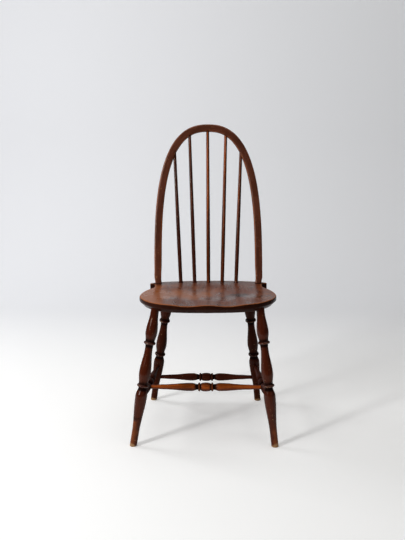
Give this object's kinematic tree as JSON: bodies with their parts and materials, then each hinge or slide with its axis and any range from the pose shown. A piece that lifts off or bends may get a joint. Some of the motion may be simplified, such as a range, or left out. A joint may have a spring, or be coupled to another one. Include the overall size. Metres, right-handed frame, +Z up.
{
  "type": "windsor side chair",
  "caption": "Bow-back Windsor side chair in worn dark-stained wood: saddled plank seat, bent bow over plain spindles, splayed ring-turned legs and turned stretchers.",
  "frame": {"origin": "on the floor, under the middle of the chair's box", "axes": "+Z up, +X to the right of someone facing the chair, the seat's front faces -Y"},
  "size_m": [0.4482, 0.4457, 0.9506],
  "materials": {
    "seat": "old satin stain, scuffed and worn dull",
    "bow": "old satin stain, worn to orange on the arrises",
    "wedge": "bare aged wood",
    "spindle": "old satin stain",
    "leg": "old satin stain, worn to tan at the feet",
    "stretcher": "old dark satin stain",
    "front_stretcher": "stain worn through to orange-brown"
  },
  "bodies": {
    "root": {"seat": "seat", "bow": "bow", "bow_wedge_left": "wedge", "bow_wedge_right": "wedge", "spindle_1": "spindle", "spindle_2": "spindle", "spindle_3": "spindle", "spindle_4": "spindle", "spindle_5": "spindle", "leg_front_left": "leg", "leg_front_right": "leg", "leg_rear_left": "leg", "leg_rear_right": "leg", "side_stretcher_left": "stretcher", "side_stretcher_right": "stretcher", "rear_stretcher": "stretcher", "front_cross_stretcher": "front_stretcher"}
  },
  "joints": []
}
